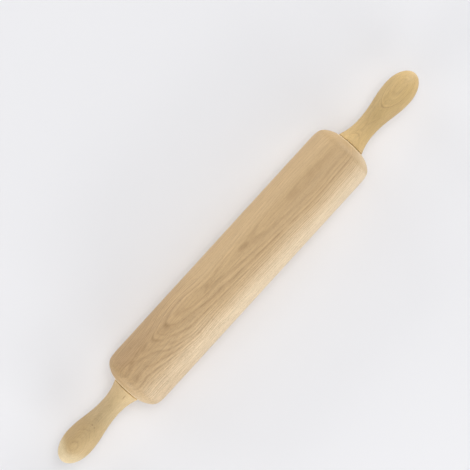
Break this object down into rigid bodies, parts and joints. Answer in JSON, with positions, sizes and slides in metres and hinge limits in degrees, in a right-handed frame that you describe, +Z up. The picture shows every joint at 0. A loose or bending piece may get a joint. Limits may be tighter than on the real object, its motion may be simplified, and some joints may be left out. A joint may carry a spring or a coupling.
{
  "type": "rolling pin",
  "caption": "Revolving wooden rolling pin: cylindrical barrel with crowned ends, turning on ball bearings round a steel rod that joins two turned handles.",
  "frame": {"origin": "centre of the barrel, on the pin's axis", "axes": "+X along the pin towards the right handle, +Z up; the pin rests on its barrel at z = -28.5 mm"},
  "size_m": [0.4434, 0.057, 0.057],
  "materials": {
    "barrel_wood": "sanded bare hardwood",
    "handle_wood": "sanded bare hardwood",
    "bright_steel": "ground",
    "bearing_steel": "ground",
    "ball_steel": "polished",
    "cage_nylon": "moulded",
    "shield_steel": "pressed sheet and wire",
    "washer_steel": "plain"
  },
  "bodies": {
    "barrel": {"barrel": "barrel_wood", "left_bearing_outer_ring": "bearing_steel", "left_bearing_outboard_shield": "shield_steel", "left_bearing_inboard_shield": "shield_steel", "left_bearing_outboard_clip": "shield_steel", "left_bearing_inboard_clip": "shield_steel", "right_bearing_outer_ring": "bearing_steel", "right_bearing_outboard_shield": "shield_steel", "right_bearing_inboard_shield": "shield_steel", "right_bearing_outboard_clip": "shield_steel", "right_bearing_inboard_clip": "shield_steel"},
    "axle": {"axle_rod": "bright_steel", "left_handle": "handle_wood", "left_bearing_inner_ring": "bearing_steel", "left_spacer_washer": "washer_steel", "right_handle": "handle_wood", "right_bearing_inner_ring": "bearing_steel", "right_spacer_washer": "washer_steel"},
    "left_cage": {"left_bearing_cage": "cage_nylon", "left_bearing_balls": "ball_steel"},
    "right_cage": {"right_bearing_cage": "cage_nylon", "right_bearing_balls": "ball_steel"}
  },
  "joints": [
    {"name": "axle_spin", "type": "hinge", "parent": "barrel", "child": "axle", "pos_m": [0, 0, 0], "axis": [1, 0, 0], "continuous": true},
    {"name": "left_cage_spin", "type": "hinge", "parent": "barrel", "child": "left_cage", "pos_m": [0, 0, 0], "axis": [1, 0, 0], "continuous": true},
    {"name": "right_cage_spin", "type": "hinge", "parent": "barrel", "child": "right_cage", "pos_m": [0, 0, 0], "axis": [1, 0, 0], "continuous": true}
  ],
  "couplings": [
    {"joint": "left_cage_spin", "follows": "axle_spin", "ratio": 0.3677},
    {"joint": "right_cage_spin", "follows": "axle_spin", "ratio": 0.3677}
  ]
}
